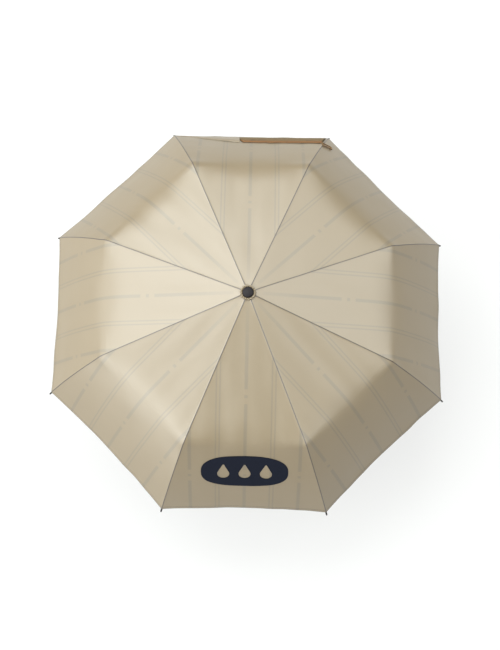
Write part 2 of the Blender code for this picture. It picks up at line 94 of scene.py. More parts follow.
def faceUp(work):
    for face in work.faces:
        face.normal_update()
    if sum(face.normal.z * face.calc_area() for face in work.faces) < 0:
        bmesh.ops.reverse_faces(work, faces=work.faces)


def finishMesh(name, work, finish, body, smoothAngle=60):
    # the finished piece's object stays at the origin, with its place in its mesh
    mesh = bpy.data.meshes.new(name)
    work.to_mesh(mesh)
    work.free()
    mesh.shade_smooth()
    mesh.set_sharp_from_angle(angle=math.radians(smoothAngle))
    piece = bpy.data.objects.new(name, mesh)
    bpy.context.scene.collection.objects.link(piece)
    mesh.materials.append(finish)
    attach(piece, body)
    return piece


def jointPlace(name):
    # a rib hinge's distance from the shaft's axis and its height
    x, y, z = joints[name]["pos_m"]
    return math.hypot(x, y), z


def ribAzimuth(number):
    x, y, z = joints[f"middle_rib_{number}_hinge"]["pos_m"]
    return math.atan2(y, x)


# the shape of the canopy, from the ribs' own hinges

crownPivot = jointPlace(foldJoint)
elbowPivot = jointPlace("middle_rib_1_hinge")
kneePivot = jointPlace("outer_rib_1_hinge")
tipLow, tipHigh = (Vector(corner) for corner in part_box("rib_tip_1"))
tipMiddle = (tipLow + tipHigh) / 2
tipPlace = (math.hypot(tipMiddle.x, tipMiddle.y), tipMiddle.z)

canopyShape = {
    "holeRadius": 4.2 * mm,
    "holeLift": 4.5 * mm,
    "collarRadius": 13 * mm,
    "ribLift": 5.0 * mm,       # cloth over the line through the crown, elbow and knee pivots
    "kneeLift": 6.6 * mm,
    "tailLift": 3.6 * mm,      # cloth over the chord of the outer rib
    "tailBow": 7.6 * mm,
    "hemInset": 6 * mm,        # how far the corner stops short of the tip's middle
    "ribShares": (0.08, 0.3, 0.55, 0.8, 0.93),
    "tailShares": (0.12, 0.3, 0.5, 0.7, 0.88, 1.0),
    "scallop": 0.020,          # how much shorter a panel is in its middle, as a share
    "ribRounding": 10 * mm,    # how softly the cloth turns at the knee, over a rib and mid panel
    "panelRounding": 34 * mm,
    "lastRounding": 4 * mm,
    "thickness": 0.45 * mm,
    "columns": 20,             # to each half panel
    "rowStep": 5 * mm,
    "seamRidge": 0.35 * mm,
    "ridgeWidth": 1.5 * mm,
    "hemWidth": 8 * mm,
    "hemRise": 0.35 * mm,
    "pucker": 0.10 * mm,       # gathers along a seam, and how far they reach from it
    "puckerPitch": 13 * mm,
    "puckerReach": 9 * mm,
    "ripple": 1.2 * mm,        # slight waves in the cloth, with their size across and along
    "rippleSize": (38 * mm, 150 * mm),
    "rippleStart": 120 * mm,
    "hemWave": 2.6 * mm,       # looser waves within a reach of the hem
    "hemWaveSize": (85 * mm, 60 * mm),
    "hemWaveReach": 75 * mm,
    "kneeOverlap": 13 * mm,    # how far the outer stretch passes the knee hinge towards the crown
    "elbowSlant": 0.34,        # slant of the borders between stretches, as a share of the half width
    "kneeSlant": 0.18,
}


def keyPoints():
    # the cloth over a rib, from the hole at the crown to the hem, as radius and height
    shape = canopyShape
    ribDir = Vector((kneePivot[0] - crownPivot[0], kneePivot[1] - crownPivot[1])).normalized()
    ribUp = Vector((-ribDir.y, ribDir.x))
    tailDir = Vector((tipPlace[0] - kneePivot[0], tipPlace[1] - kneePivot[1]))
    tailLength = tailDir.length - shape["hemInset"]
    tailDir.normalize()
    tailUp = Vector((-tailDir.y, tailDir.x))
    crown, knee = Vector(crownPivot), Vector(kneePivot)
    span = (knee - crown).length
    points = [
        Vector((shape["holeRadius"], crown.y + shape["holeLift"])),
        Vector((shape["collarRadius"], crown.y + shape["holeLift"])),
    ]
    for share in shape["ribShares"]:
        lift = shape["ribLift"] + (shape["kneeLift"] - shape["ribLift"]) * share
        points.append(crown + ribDir * span * share + ribUp * lift)
    points.append(knee + (ribUp + tailUp).normalized() * shape["kneeLift"])
    for share in shape["tailShares"]:
        bow = 4 * shape["tailBow"] * share * (1 - share)
        points.append(knee + tailDir * tailLength * share + tailUp * (shape["tailLift"] + bow))
    return points


def evenPolyline(points, step):
    # the same line with a point every step, so that it can be averaged and read by distance
    made, left = [points[0].copy()], step
    for a, b in zip(points, points[1:]):
        length, walked = (b - a).length, 0.0
        while length - walked >= left:
            walked += left
            made.append(a.lerp(b, walked / length))
            left = step
        left -= length - walked
    return made


def rounded(line, step, reach):
    # each point becomes the average of those within reach, fewer near the ends
    half = max(1, int(reach / step))
    made = []
    for i in range(len(line)):
        width = min(half, i, len(line) - 1 - i)
        block = line[i - width:i + width + 1]
        made.append(sum(block, Vector((0, 0))) / len(block))
    return made


lineStep = 1 * mm
plainLine = evenPolyline(keyPoints(), lineStep)
ribLine = rounded(
    rounded(plainLine, lineStep, canopyShape["ribRounding"]), lineStep, canopyShape["lastRounding"]
)
panelLine = rounded(
    rounded(plainLine, lineStep, canopyShape["panelRounding"]), lineStep, canopyShape["panelRounding"]
)
canopyLength = (len(plainLine) - 1) * lineStep
halfAngle = math.pi / ribCount


def readLine(line, distance):
    # radius and height at a distance down the line
    place = min(max(distance / lineStep, 0.0), len(line) - 1.001)
    i = int(place)
    return line[i].lerp(line[i + 1], place - i)


def lineDistance(target):
    # how far down the canopy's line the point nearest to a rib's hinge is
    best = min(range(len(plainLine)), key=lambda i: (plainLine[i] - Vector(target)).length)
    return best * lineStep


elbowDistance = lineDistance(elbowPivot)
kneeDistance = lineDistance(kneePivot)


def surfacePoint(panelTurn, across, distance, lift=0.0, plain=False):
    # across runs from -1 to 1 between a panel's two ribs; plain leaves out ridges and ripples
    shape = canopyShape
    middle = 1 - across * across
    reached = distance * (1 - shape["scallop"] * middle * (distance / canopyLength) ** 3)
    place = readLine(ribLine, reached).lerp(readLine(panelLine, reached), middle)
    ahead = readLine(plainLine, reached + 6 * mm) - readLine(plainLine, reached - 6 * mm)
    slope = math.atan2(-ahead.y, ahead.x)
    radius, height = place
    seed = round(panelTurn / (2 * halfAngle)) % ribCount
    sideways = radius * math.sin(halfAngle) * across
    toSeam = radius * math.sin(halfAngle) * (1 - abs(across))
    toHem = canopyLength - distance
    if not plain:
        lift += shape["seamRidge"] * math.exp(-(toSeam / shape["ridgeWidth"]) ** 2)
        lift += shape["hemRise"] * min(1.0, max(0.0, (shape["hemWidth"] - toHem) / mm))
        fading = math.exp(-toSeam / shape["puckerReach"])
        lift += shape["pucker"] * fading * math.sin(2 * math.pi * distance / shape["puckerPitch"])
        wide, long = shape["rippleSize"]
        calm = (1 - across ** 6) * min(1.0, distance / shape["rippleStart"])
        spot = Vector((sideways / wide + seed * 7.3, distance / long, seed))
        lift += shape["ripple"] * calm * noise.noise(spot)
        wide, long = shape["hemWaveSize"]
        nearHem = max(0.0, 1 - toHem / shape["hemWaveReach"]) ** 1.5 * (1 - across ** 4)
        spot = Vector((sideways / wide + seed * 5.1, toHem / long, seed * 3.3))
        lift += shape["hemWave"] * nearHem * noise.noise(spot)
    along = radius * math.cos(halfAngle) + lift * math.sin(slope)
    x = along * math.cos(panelTurn) - sideways * math.sin(panelTurn)
    y = along * math.sin(panelTurn) + sideways * math.cos(panelTurn)
    return Vector((x, y, height + lift * math.cos(slope)))


# materials

pongee = {
    "cloth": "#776951",
    "clothDeep": "#73654d",
    "stripe": "#595347",
    "stripeStrength": 0.4,
    "threadAndShade": "#2b2016",
    "roughness": 0.41,
    "roughSpread": 0.04,
    "gloss": 0.9,
    "threadPitch": 1.1 * mm,   # real threads are a quarter of this, too fine to show
    "stripeAt": (59 * mm, 118 * mm),     # from the panel's middle: the thin pair, and the outer single
    "stripeHalf": 3.6 * mm,
    "pairGap": 3.9 * mm,
    "pairHalf": 1.5 * mm,
    "softEdge": 1.2 * mm,
    "dashPeriod": 202 * mm,    # single stripes break, with a short dot in the gap
    "dotAt": 234 * mm,
    "dotHalf": 3.4 * mm,
    "gapHalf": 17 * mm,
    "firstDash": 30 * mm,
    "firstDashEdge": 8 * mm,
    "fadeBetween": (25 * mm, 130 * mm),  # stripes are fainter near the crown
    "fadeShare": 0.3,
    # the seam line is thread, and by its width and darkness also painted shade of the seam ridge
    "seamHalf": 1.0 * mm,
    "seamEdge": 0.6 * mm,
    "hemHalf": 1.1 * mm,
    "hemEdge": 0.9 * mm,
    "stitchAt": 6.5 * mm,
    "stitchHalf": 0.5 * mm,
    "stitchPitch": 3.2 * mm,
}
inkColours = ("#0a0e1a", "#0e1321")


def bandMask(tree, value, centre, half, soft):
    # 1 inside a band about centre, falling softly to 0 over its edge
    offset = addNode(tree, "Math", {0: value, 1: centre}, operation="SUBTRACT")
    away = addNode(tree, "Math", {0: offset}, operation="ABSOLUTE")
    edges = {"From Min": half - soft / 2, "From Max": half + soft / 2, "To Min": 1.0, "To Max": 0.0}
    return addNode(tree, "MapRange", {"Value": away, **edges}, interpolation_type="SMOOTHSTEP")


def stripeMask(tree, u, v):
    # u is the distance from the panel's middle and v the distance from the crown
    look = pongee
    period, soft = look["dashPeriod"], look["softEdge"]
    nearPair, farLine = look["stripeAt"]
    aside = addNode(tree, "Math", {0: u}, operation="ABSOLUTE")
    shifted = addNode(tree, "Math", {0: v, 1: look["dotAt"] - period / 2}, operation="SUBTRACT")
    turns = addNode(tree, "Math", {0: shifted, 1: period}, operation="DIVIDE")
    share = addNode(tree, "Math", {0: turns}, operation="FRACT")
    centred = addNode(tree, "Math", {0: share, 1: 0.5}, operation="SUBTRACT")
    fromCentre = addNode(tree, "Math", {0: centred}, operation="ABSOLUTE")
    fromDot = addNode(tree, "Math", {0: fromCentre, 1: period}, operation="MULTIPLY")
    dot = bandMask(tree, fromDot, 0.0, look["dotHalf"], soft)
    gap = bandMask(tree, fromDot, 0.0, look["gapHalf"], soft)
    unbroken = addNode(tree, "Math", {0: 1.0, 1: gap}, operation="SUBTRACT")
    pattern = addNode(tree, "Math", {0: dot, 1: unbroken}, operation="MAXIMUM")
    beyond = addNode(tree, "Math", {0: v, 1: 3 * look["firstDash"]}, operation="GREATER_THAN")
    later = addNode(tree, "Math", {0: pattern, 1: beyond}, operation="MULTIPLY")
    first = bandMask(tree, v, 2 * look["firstDash"], look["firstDash"], look["firstDashEdge"])
    broken = addNode(tree, "Math", {0: later, 1: first}, operation="MAXIMUM")
    middle = bandMask(tree, aside, 0.0, look["stripeHalf"], 2 * soft)
    outer = bandMask(tree, aside, farLine, look["stripeHalf"], 2 * soft)
    lines = addNode(tree, "Math", {0: middle, 1: outer}, operation="MAXIMUM")
    single = addNode(tree, "Math", {0: lines, 1: broken}, operation="MULTIPLY")
    offset = addNode(tree, "Math", {0: aside, 1: nearPair}, operation="SUBTRACT")
    fromPair = addNode(tree, "Math", {0: offset}, operation="ABSOLUTE")
    pair = bandMask(tree, fromPair, look["pairGap"], look["pairHalf"], soft)
    return addNode(tree, "Math", {0: single, 1: pair}, operation="MAXIMUM")


def sewnLinesAndSeamShade(tree, u):
    # the thread in the seams, drawn wide and dark so that it is also painted shade beside the seam ridge, the
    # hem's edge, and the row of stitches beside it
    look = pongee
    toSeam = addNode(tree, "Attribute", attribute_name="toSeam").outputs["Fac"]
    toHem = addNode(tree, "Attribute", attribute_name="toHem").outputs["Fac"]
    seam = bandMask(tree, toSeam, 0.0, look["seamHalf"], look["seamEdge"])
    hem = bandMask(tree, toHem, 0.0, look["hemHalf"], look["hemEdge"])
    row = bandMask(tree, toHem, look["stitchAt"], look["stitchHalf"], look["stitchHalf"])
    turns = addNode(tree, "Math", {0: u, 1: look["stitchPitch"]}, operation="DIVIDE")
    share = addNode(tree, "Math", {0: turns}, operation="FRACT")
    dashes = bandMask(tree, share, 0.5, 0.33, 0.1)
    stitches = addNode(tree, "Math", {0: row, 1: dashes}, operation="MULTIPLY")
    edges = addNode(tree, "Math", {0: seam, 1: hem}, operation="MAXIMUM")
    return addNode(tree, "Math", {0: edges, 1: stitches}, operation="MAXIMUM")


def makePongee(name, striped=True):
    # satin-faced polyester pongee: a tight plain weave that glances light like silk
    look = pongee
    made, tree, shader = newMaterial(name)
    uv = addNode(tree, "UVMap", uv_map="panelFlat").outputs[0]
    parts = addNode(tree, "SeparateXYZ", {0: uv})
    u, v = parts.outputs[0], parts.outputs[1]
    cloudy = addNode(tree, "TexNoise", {"Vector": uv, "Scale": 14.0, "Detail": 3.0, "Roughness": 0.55})
    colours = {6: hexLinear(look["clothDeep"]), 7: hexLinear(look["cloth"])}
    colour = addNode(tree, "Mix", {0: cloudy, **colours}, data_type="RGBA").outputs[2]
    if striped:
        start, end = look["fadeBetween"]
        strength = look["stripeStrength"]
        fade = addNode(tree, "MapRange", {
            "Value": v, "From Min": start, "From Max": end,
            "To Min": look["fadeShare"] * strength, "To Max": strength,
        })
        stripes = addNode(tree, "Math", {0: stripeMask(tree, u, v), 1: fade}, operation="MULTIPLY")
        layers = {0: stripes, 6: colour, 7: hexLinear(look["stripe"])}
        colour = addNode(tree, "Mix", layers, data_type="RGBA").outputs[2]
        # seams, hem edge and stitches in the thread colour; the seam lines also carry painted shade
        layers = {0: sewnLinesAndSeamShade(tree, u), 6: colour, 7: hexLinear(look["threadAndShade"])}
        colour = addNode(tree, "Mix", layers, data_type="RGBA").outputs[2]
    low, high = look["roughness"] - look["roughSpread"], look["roughness"] + look["roughSpread"]
    rough = addNode(tree, "MapRange", {"Value": cloudy, "To Min": low, "To Max": high})
    turn = 2 * math.pi / look["threadPitch"]
    warpPhase = addNode(tree, "Math", {0: u, 1: turn}, operation="MULTIPLY")
    weftPhase = addNode(tree, "Math", {0: v, 1: turn}, operation="MULTIPLY")
    warp = addNode(tree, "Math", {0: warpPhase}, operation="SINE")
    weft = addNode(tree, "Math", {0: weftPhase}, operation="SINE")
    weave = addNode(tree, "Math", {0: warp, 1: weft}, operation="MULTIPLY")
    halfWeave = addNode(tree, "Math", {0: weave, 1: 0.5}, operation="MULTIPLY")
    stretched = addNode(tree, "Mapping", {0: uv, 3: (900, 60, 1)})
    slub = addNode(tree, "TexNoise", {"Vector": stretched, "Scale": 1.0, "Detail": 2.0})
    height = addNode(tree, "Math", {0: halfWeave, 1: slub}, operation="ADD")
    bump = addNode(tree, "Bump", {"Strength": 0.12, "Distance": 0.08 * mm, "Height": height})
    setInputs(tree, shader, {
        "Base Color": colour, "Roughness": rough, "Normal": bump,
        "Specular IOR Level": look["gloss"], "IOR": 1.6,     # polyester's own IOR
    })
    return made


def makePlastic(name, colours, roughness, grain):
    # moulded ABS with a fine spark-eroded grain, so highlights stay broad and dull
    made, tree, shader = newMaterial(name)
    place = addNode(tree, "TexCoord").outputs["Object"]
    fine = addNode(tree, "TexNoise", {"Vector": place, "Scale": 1 / grain, "Detail": 2.0})
    patch = addNode(tree, "TexNoise", {"Vector": place, "Scale": 90.0, "Detail": 3.0})
    layers = {0: patch, 6: hexLinear(colours[0]), 7: hexLinear(colours[1])}
    shade = addNode(tree, "Mix", layers, data_type="RGBA").outputs[2]
    low, high = roughness - 0.06, roughness + 0.08
    rough = addNode(tree, "MapRange", {"Value": patch, "To Min": low, "To Max": high})
    bump = addNode(tree, "Bump", {"Strength": 0.25, "Distance": 0.05 * mm, "Height": fine})
    setInputs(tree, shader, {
        "Base Color": shade, "Roughness": rough, "Normal": bump, "Specular IOR Level": 0.22,
    })
    return made


def makeSteel(name, colours, roughness, metallic):
    # drawn and plated steel: faint lines along the draw, and dull patches where it is handled
    made, tree, shader = newMaterial(name)
    place = addNode(tree, "TexCoord").outputs["Object"]
    patch = addNode(tree, "TexNoise", {"Vector": place, "Scale": 60.0, "Detail": 4.0})
    drawn = addNode(tree, "Mapping", {0: place, 3: (1500, 1500, 40)})
    lines = addNode(tree, "TexNoise", {"Vector": drawn, "Scale": 1.0, "Detail": 2.0})
    layers = {0: patch, 6: hexLinear(colours[0]), 7: hexLinear(colours[1])}
    shade = addNode(tree, "Mix", layers, data_type="RGBA").outputs[2]
    low, high = roughness - 0.07, roughness + 0.12
    rough = addNode(tree, "MapRange", {"Value": patch, "To Min": low, "To Max": high})
    bump = addNode(tree, "Bump", {"Strength": 0.15, "Distance": 0.03 * mm, "Height": lines})
    setInputs(tree, shader, {
        "Base Color": shade, "Roughness": rough, "Normal": bump, "Metallic": metallic,
    })
    return made


def makeInkFilm(name):
    # flat screen-print ink: thin enough to show the weave, and duller than the satin
    made, tree, shader = newMaterial(name)
    uv = addNode(tree, "UVMap", uv_map="panelFlat").outputs[0]
    patch = addNode(tree, "TexNoise", {"Vector": uv, "Scale": 160.0, "Detail": 3.0})
    layers = {0: patch, 6: hexLinear(inkColours[0]), 7: hexLinear(inkColours[1])}
    shade = addNode(tree, "Mix", layers, data_type="RGBA").outputs[2]
    fine = addNode(tree, "TexNoise", {"Vector": uv, "Scale": 1200.0, "Detail": 2.0})
    bump = addNode(tree, "Bump", {"Strength": 0.2, "Distance": 0.05 * mm, "Height": fine})
    setInputs(tree, shader, {
        "Base Color": shade, "Roughness": 0.75, "Normal": bump, "Specular IOR Level": 0.15,
    })
    return made


def makeTape(name, colours, ribPitch, boundEdgeAndShadow=None):
    # woven tape or braided cord: fine cross ribs, dark flecks between them, and a warmer bound
    # edge with a painted shadow along its fold, given as colour, width and shadow width
    made, tree, shader = newMaterial(name)
    uv = addNode(tree, "UVMap", uv_map="tapeFlat").outputs[0]
    parts = addNode(tree, "SeparateXYZ", {0: uv})
    along, over = parts.outputs[0], parts.outputs[1]
    alongPhase = addNode(tree, "Math", {0: along, 1: 2 * math.pi / ribPitch}, operation="MULTIPLY")
    overPhase = addNode(tree, "Math", {0: over, 1: 2 * math.pi / (1.4 * ribPitch)}, operation="MULTIPLY")
    ribs = addNode(tree, "Math", {0: alongPhase}, operation="SINE")
    rows = addNode(tree, "Math", {0: overPhase}, operation="SINE")
    lowRows = addNode(tree, "Math", {0: rows, 1: 0.6}, operation="MULTIPLY")
    height = addNode(tree, "Math", {0: ribs, 1: lowRows}, operation="ADD")
    # colour follows the ribs' height, darker in the grooves: painted shade
    level = addNode(tree, "MapRange", {"Value": height, "From Min": -1.6, "From Max": 1.6})
    layers = {0: level, 6: hexLinear(colours[0]), 7: hexLinear(colours[1])}
    shade = addNode(tree, "Mix", layers, data_type="RGBA").outputs[2]
    if boundEdgeAndShadow is not None:
        edgeColour, edgeWidth, foldShadowWidth = boundEdgeAndShadow
        layers = {0: bandMask(tree, over, 0.0, edgeWidth, 2.5 * mm), 6: shade, 7: hexLinear(edgeColour)}
        shade = addNode(tree, "Mix", layers, data_type="RGBA").outputs[2]
        # painted shadow: a dark band along the bound edge's fold
        layers = {0: bandMask(tree, over, 0.0, foldShadowWidth, 1.0 * mm), 6: shade, 7: hexLinear(colours[2])}
        shade = addNode(tree, "Mix", layers, data_type="RGBA").outputs[2]
    fleck = addNode(tree, "TexNoise", {"Vector": uv, "Scale": 60.0, "Detail": 3.0})
    strong = addNode(tree, "Math", {0: fleck, 1: 0.6}, operation="GREATER_THAN")
    spots = addNode(tree, "Math", {0: strong, 1: 0.35}, operation="MULTIPLY")
    layers = {0: spots, 6: shade, 7: hexLinear(colours[2])}
    shade = addNode(tree, "Mix", layers, data_type="RGBA").outputs[2]
    bump = addNode(tree, "Bump", {"Strength": 0.5, "Distance": 0.15 * mm, "Height": level})
    setInputs(tree, shader, {"Base Color": shade, "Roughness": 0.7, "Normal": bump})
    return made


stripedPongee = makePongee("satinPongeeStriped")
plainPongee = makePongee("satinPongeePlain", striped=False)
navyInk = makeInkFilm("navyInk")
charcoalAbs = makePlastic("charcoalAbs", ("#171517", "#1f1c1e"), 0.6, 0.5 * mm)
softTouchAbs = makePlastic("softTouchAbs", ("#222224", "#2a2a2b"), 0.62, 0.35 * mm)
nickelSteel = makeSteel("nickelSteel", ("#b9b8b4", "#cfcdc8"), 0.27, 1.0)
blackZincSteel = makeSteel("blackZincSteel", ("#2f3032", "#3c3d40"), 0.42, 0.85)
# the third colour is for the flecks, and also for the painted shadow along the bound edge's fold
tanTape = makeTape("tanTape", ("#5a4722", "#665029", "#33241a"), 1.6 * mm, ("#6b4822", 21 * mm, 3.4 * mm))
brownElastic = makeTape("brownElastic", ("#2a190c", "#94744a", "#1c1109"), 2.6 * mm)
print("materials made")


# canopy: on each side of a rib three stretches of cloth, from the rib to the panel's middle

stretches = (   # label, rib, start and end from the crown, and the keep and lap passed on to gatherOnRib
    ("Inner", "inner_rib", 0.0, elbowDistance, 0.08, 1.2 * mm),
    ("Middle", "middle_rib", elbowDistance, kneeDistance - canopyShape["kneeOverlap"], 0.07, 1.2 * mm),
    ("Outer", "outer_rib", kneeDistance - canopyShape["kneeOverlap"], canopyLength, 0.10, 3.2 * mm),
)


def gatherOnRib(piece, number, side, start, end, keep, lap):
    # works out the stretch's two ends beside the rib, and gives the piece its own copy of its mesh
    turn = ribAzimuth(number) + side * halfAngle
    near, far = surfacePoint(turn, -side, start), surfacePoint(turn, -side, end)
    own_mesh(piece)


def borderShift(distance):
    # borders between stretches run square to the rib, so that a gathered stretch has no points
    if not 0 < distance < canopyLength:
        return 0.0
    slant = canopyShape["kneeSlant"] if distance > elbowDistance else canopyShape["elbowSlant"]
    return slant * readLine(plainLine, distance).x * math.sin(halfAngle)


def clothStretch(name, number, side, body, start, end, keep, lap):
    # one stretch beside a rib, clockwise of it (side -1) or counter-clockwise (1)
    shape = canopyShape
    azimuth = ribAzimuth(number)
    rows = max(6, round((end - start) / shape["rowStep"]))
    shiftStart, shiftEnd = borderShift(start), borderShift(end)
    work = bmesh.new()
    bmesh.ops.create_grid(work, x_segments=shape["columns"], y_segments=rows, size=1.0)
    seamLayer = work.verts.layers.float.new("toSeam")
    hemLayer = work.verts.layers.float.new("toHem")
    uvLayer = work.loops.layers.uv.new("panelFlat")
    flatPlace = {vert: (vert.co.x, vert.co.y) for vert in work.verts}

    def readPlace(vert):
        # columns lie closer near the rib
        s, t = flatPlace[vert]
        spread = ((1 + side * s) / 2) ** 1.5
        across = side * (spread - 1)
        down = (1 - t) / 2
        first, last = start + shiftStart * spread, end + shiftEnd * spread
        return across, first + (last - first) * down

    for face in work.faces:
        for loop in face.loops:
            across, distance = readPlace(loop.vert)
            radius = readLine(plainLine, distance).x
            loop[uvLayer].uv = (radius * math.sin(halfAngle) * across, distance)
    normal = Vector((-math.sin(azimuth), math.cos(azimuth), 0))
    for vert in work.verts:
        across, distance = readPlace(vert)
        radius = readLine(plainLine, distance).x
        vert[seamLayer] = radius * math.sin(halfAngle) * (1 - abs(across))
        vert[hemLayer] = canopyLength - distance
        place = surfacePoint(azimuth + side * halfAngle, across, distance)
        if abs(across) > 0.9999:
            place -= normal * place.dot(normal)      # both halves meet in the rib's own plane
        vert.co = place
    faceUp(work)
    area = sum(face.calc_area() for face in work.faces)
    bmesh.ops.solidify(work, geom=work.faces[:], thickness=shape["thickness"])
    piece = finishMesh(name, work, stripedPongee, f"{body}_{number}", smoothAngle=75)
    width = readLine(plainLine, end).x * math.sin(halfAngle)
    gatherOnRib(piece, number, side, start, end, keep, lap)
    return piece


for number in range(1, ribCount + 1):
    for label, body, start, end, keep, lap in stretches:
        for side, hand in ((-1, "Right"), (1, "Left")):
            name = f"canopy{label}{number}{hand}"
            clothStretch(name, number, side, body, start, end, keep, lap)
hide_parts("canopy")


# strap, folded hem, loop and crown ruffle

def mappedSheet(columns, rows, place, flatPlace, layerName, joined=False):
    # a grid bent by place(s, t), both from 0 to 1; joined welds its edges into a ring or tube
    work = bmesh.new()
    bmesh.ops.create_grid(work, x_segments=columns, y_segments=rows, size=0.5)
    layer = work.loops.layers.uv.new(layerName)
    for face in work.faces:
        for loop in face.loops:
            loop[layer].uv = flatPlace(loop.vert.co.x + 0.5, loop.vert.co.y + 0.5)
    for vert in work.verts:
        vert.co = place(vert.co.x + 0.5, vert.co.y + 0.5)
    if joined:
        bmesh.ops.remove_doubles(work, verts=work.verts, dist=0.01 * mm)
    return work


def crossSection(points, share):
    # a smooth reading of a short list of (along the slope, off the cloth) points
    place = min(max(share, 0.0), 0.9999) * (len(points) - 1)
    i = int(place)
    before, after = points[max(i - 1, 0)], points[min(i + 2, len(points) - 1)]
    a, b = Vector(points[i]), Vector(points[i + 1])
    t = place - i
    startPull, endPull = (b - Vector(before)) / 2, (Vector(after) - a) / 2
    return (a * (2 * t ** 3 - 3 * t ** 2 + 1) + startPull * (t ** 3 - 2 * t ** 2 + t)
            + b * (3 * t ** 2 - 2 * t ** 3) + endPull * (t ** 3 - t ** 2))


strap = {
    "panel": math.radians(90),
    "span": (-0.965, 0.175),
    "section": (     # mm from the hem, less than 0 being up the slope, and mm off the cloth
        (-58, 0.8), (-56.5, 2.4), (-51, 3.4), (-42, 3.8), (-30, 3.8), (-18, 3.3), (-8, 2.4), (-1, 1.1),
    ),
    "girth": 60 * mm,
    "length": 207 * mm,
    "thickness": 0.7 * mm,
    "waviness": 0.07,
    "endStart": 0.94,       # its free end narrows from here, and slants up the slope by so many mm
    "endNarrowing": 0.7,
    "endSlant": 14,
}
hemFold = {
    "span": (0.16, 0.985),
    "width": 0.96,          # of the strap's section, tapering to the last width at its far end
    "lastWidth": 0.04,
    "waviness": 0.12,
    "length": 150 * mm,
    "girth": 26 * mm,
    "thickness": 0.4 * mm,
}
strapLoop = {
    "panel": math.radians(45),
    "start": (-3 * mm, 77 * mm),    # from the rib, and up from the hem
    "end": (21 * mm, 51 * mm),
    "halfWidth": 4.2 * mm,
    "radius": 1.25 * mm,
    "clearance": 0.5 * mm,
    "strandDepth": 0.3 * mm,
    "twists": 26,
}
ruffle = {
    "section": ((9.5, 5.1), (11.8, 5.2), (12.9, 6.2), (14.4, 7.0), (15.9, 6.4), (16.9, 5.1)),
    "pleats": 17,
    "unevenness": 0.8,
    "depth": 1.6,
    "thickness": 0.35 * mm,
}


def makeStrap():
    look = strap
    first, last = look["span"]

    def place(s, t):
        back, lift = crossSection(look["section"], t)
        past = max(0.0, (s - look["endStart"]) / (1 - look["endStart"]))
        size = 1.0 - look["endNarrowing"] * past ** 1.3
        back -= look["endSlant"] * (1 - size)
        wave = 1 + look["waviness"] * noise.noise(Vector((s * 9, t * 1.5, 3.1)))
        scale = size * wave * mm
        across = first + (last - first) * s
        return surfacePoint(look["panel"], across, canopyLength + back * scale, lift * scale, plain=True)

    work = mappedSheet(120, 16, place, lambda s, t: (s * look["length"], t * look["girth"]), "tapeFlat")
    faceUp(work)
    bmesh.ops.solidify(work, geom=work.faces[:], thickness=look["thickness"])
    piece = finishMesh("closureStrapTape", work, tanTape, "outer_rib_2")
    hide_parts("closure_strap")
    return piece


def makeHemFold():
    # the hem beside the strap is turned over, in the strap's section but narrower and narrower
    look = hemFold
    first, last = look["span"]

    def place(s, t):
        back, lift = crossSection(strap["section"], t)
        size = look["width"] * (1 - s) ** 0.9 + look["lastWidth"]
        wave = 1 + look["waviness"] * noise.noise(Vector((s * 7, t * 2, 8.4)))
        distance = canopyLength + back * size * mm
        return surfacePoint(
            strap["panel"], first + (last - first) * s, distance, lift * size * wave * mm, plain=True
        )

    def flatPlace(s, t):
        return s * look["length"], t * look["girth"] + 0.2

    work = mappedSheet(80, 12, place, flatPlace, "panelFlat")
    faceUp(work)
    bmesh.ops.solidify(work, geom=work.faces[:], thickness=look["thickness"])
    return finishMesh("turnedHem", work, plainPongee, "outer_rib_3")


def makeLoop():
    # a two-strand cord laid as a flat racetrack loop: straight, round, straight, round
    look = strapLoop
    first, last = Vector(look["start"]), Vector(look["end"])
    along = (last - first).normalized()
    aside = Vector((-along.y, along.x))
    width = look["halfWidth"]
    bend = math.pi * width
    straight = (last - first).length - 2 * width
    lap = 2 * straight + 2 * bend

    def route(s):
        walked = (s % 1.0) * lap
        if walked < straight:
            spot = first + along * (width + walked) - aside * width
        elif walked < straight + bend:
            turn = (walked - straight) / width - math.pi / 2
            spot = first + along * (width + straight + width * math.cos(turn))
            spot += aside * width * math.sin(turn)
        elif walked < 2 * straight + bend:
            spot = first + along * (width + 2 * straight + bend - walked) + aside * width
        else:
            turn = (walked - 2 * straight - bend) / width + math.pi / 2
            spot = first + along * (width + width * math.cos(turn))
            spot += aside * width * math.sin(turn)
        distance = canopyLength - spot.y
        halfWidth = readLine(plainLine, distance).x * math.sin(halfAngle)
        lift = look["radius"] + look["strandDepth"] + look["clearance"]
        return surfacePoint(look["panel"], 1 - spot.x / halfWidth, distance, lift, plain=True)

    def place(s, t):
        centre = route(s)
        ahead = (route(s + 0.004) - route(s - 0.004)).normalized()
        side = ahead.cross(Vector((0, 0, 1))).normalized()
        up = side.cross(ahead)
        turn = 2 * math.pi * t
        radius = look["radius"] + look["strandDepth"] * abs(math.sin(turn + math.pi * look["twists"] * s))
        return centre + side * radius * math.cos(turn) + up * radius * math.sin(turn)

    def flatPlace(s, t):
        return s * lap, t * 2 * math.pi * look["radius"]

    work = mappedSheet(240, 16, place, flatPlace, "tapeFlat", joined=True)
    bmesh.ops.recalc_face_normals(work, faces=work.faces)
    piece = finishMesh("strapLoopCord", work, brownElastic, "outer_rib_2", smoothAngle=80)
    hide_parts("strap_loop")
    return piece


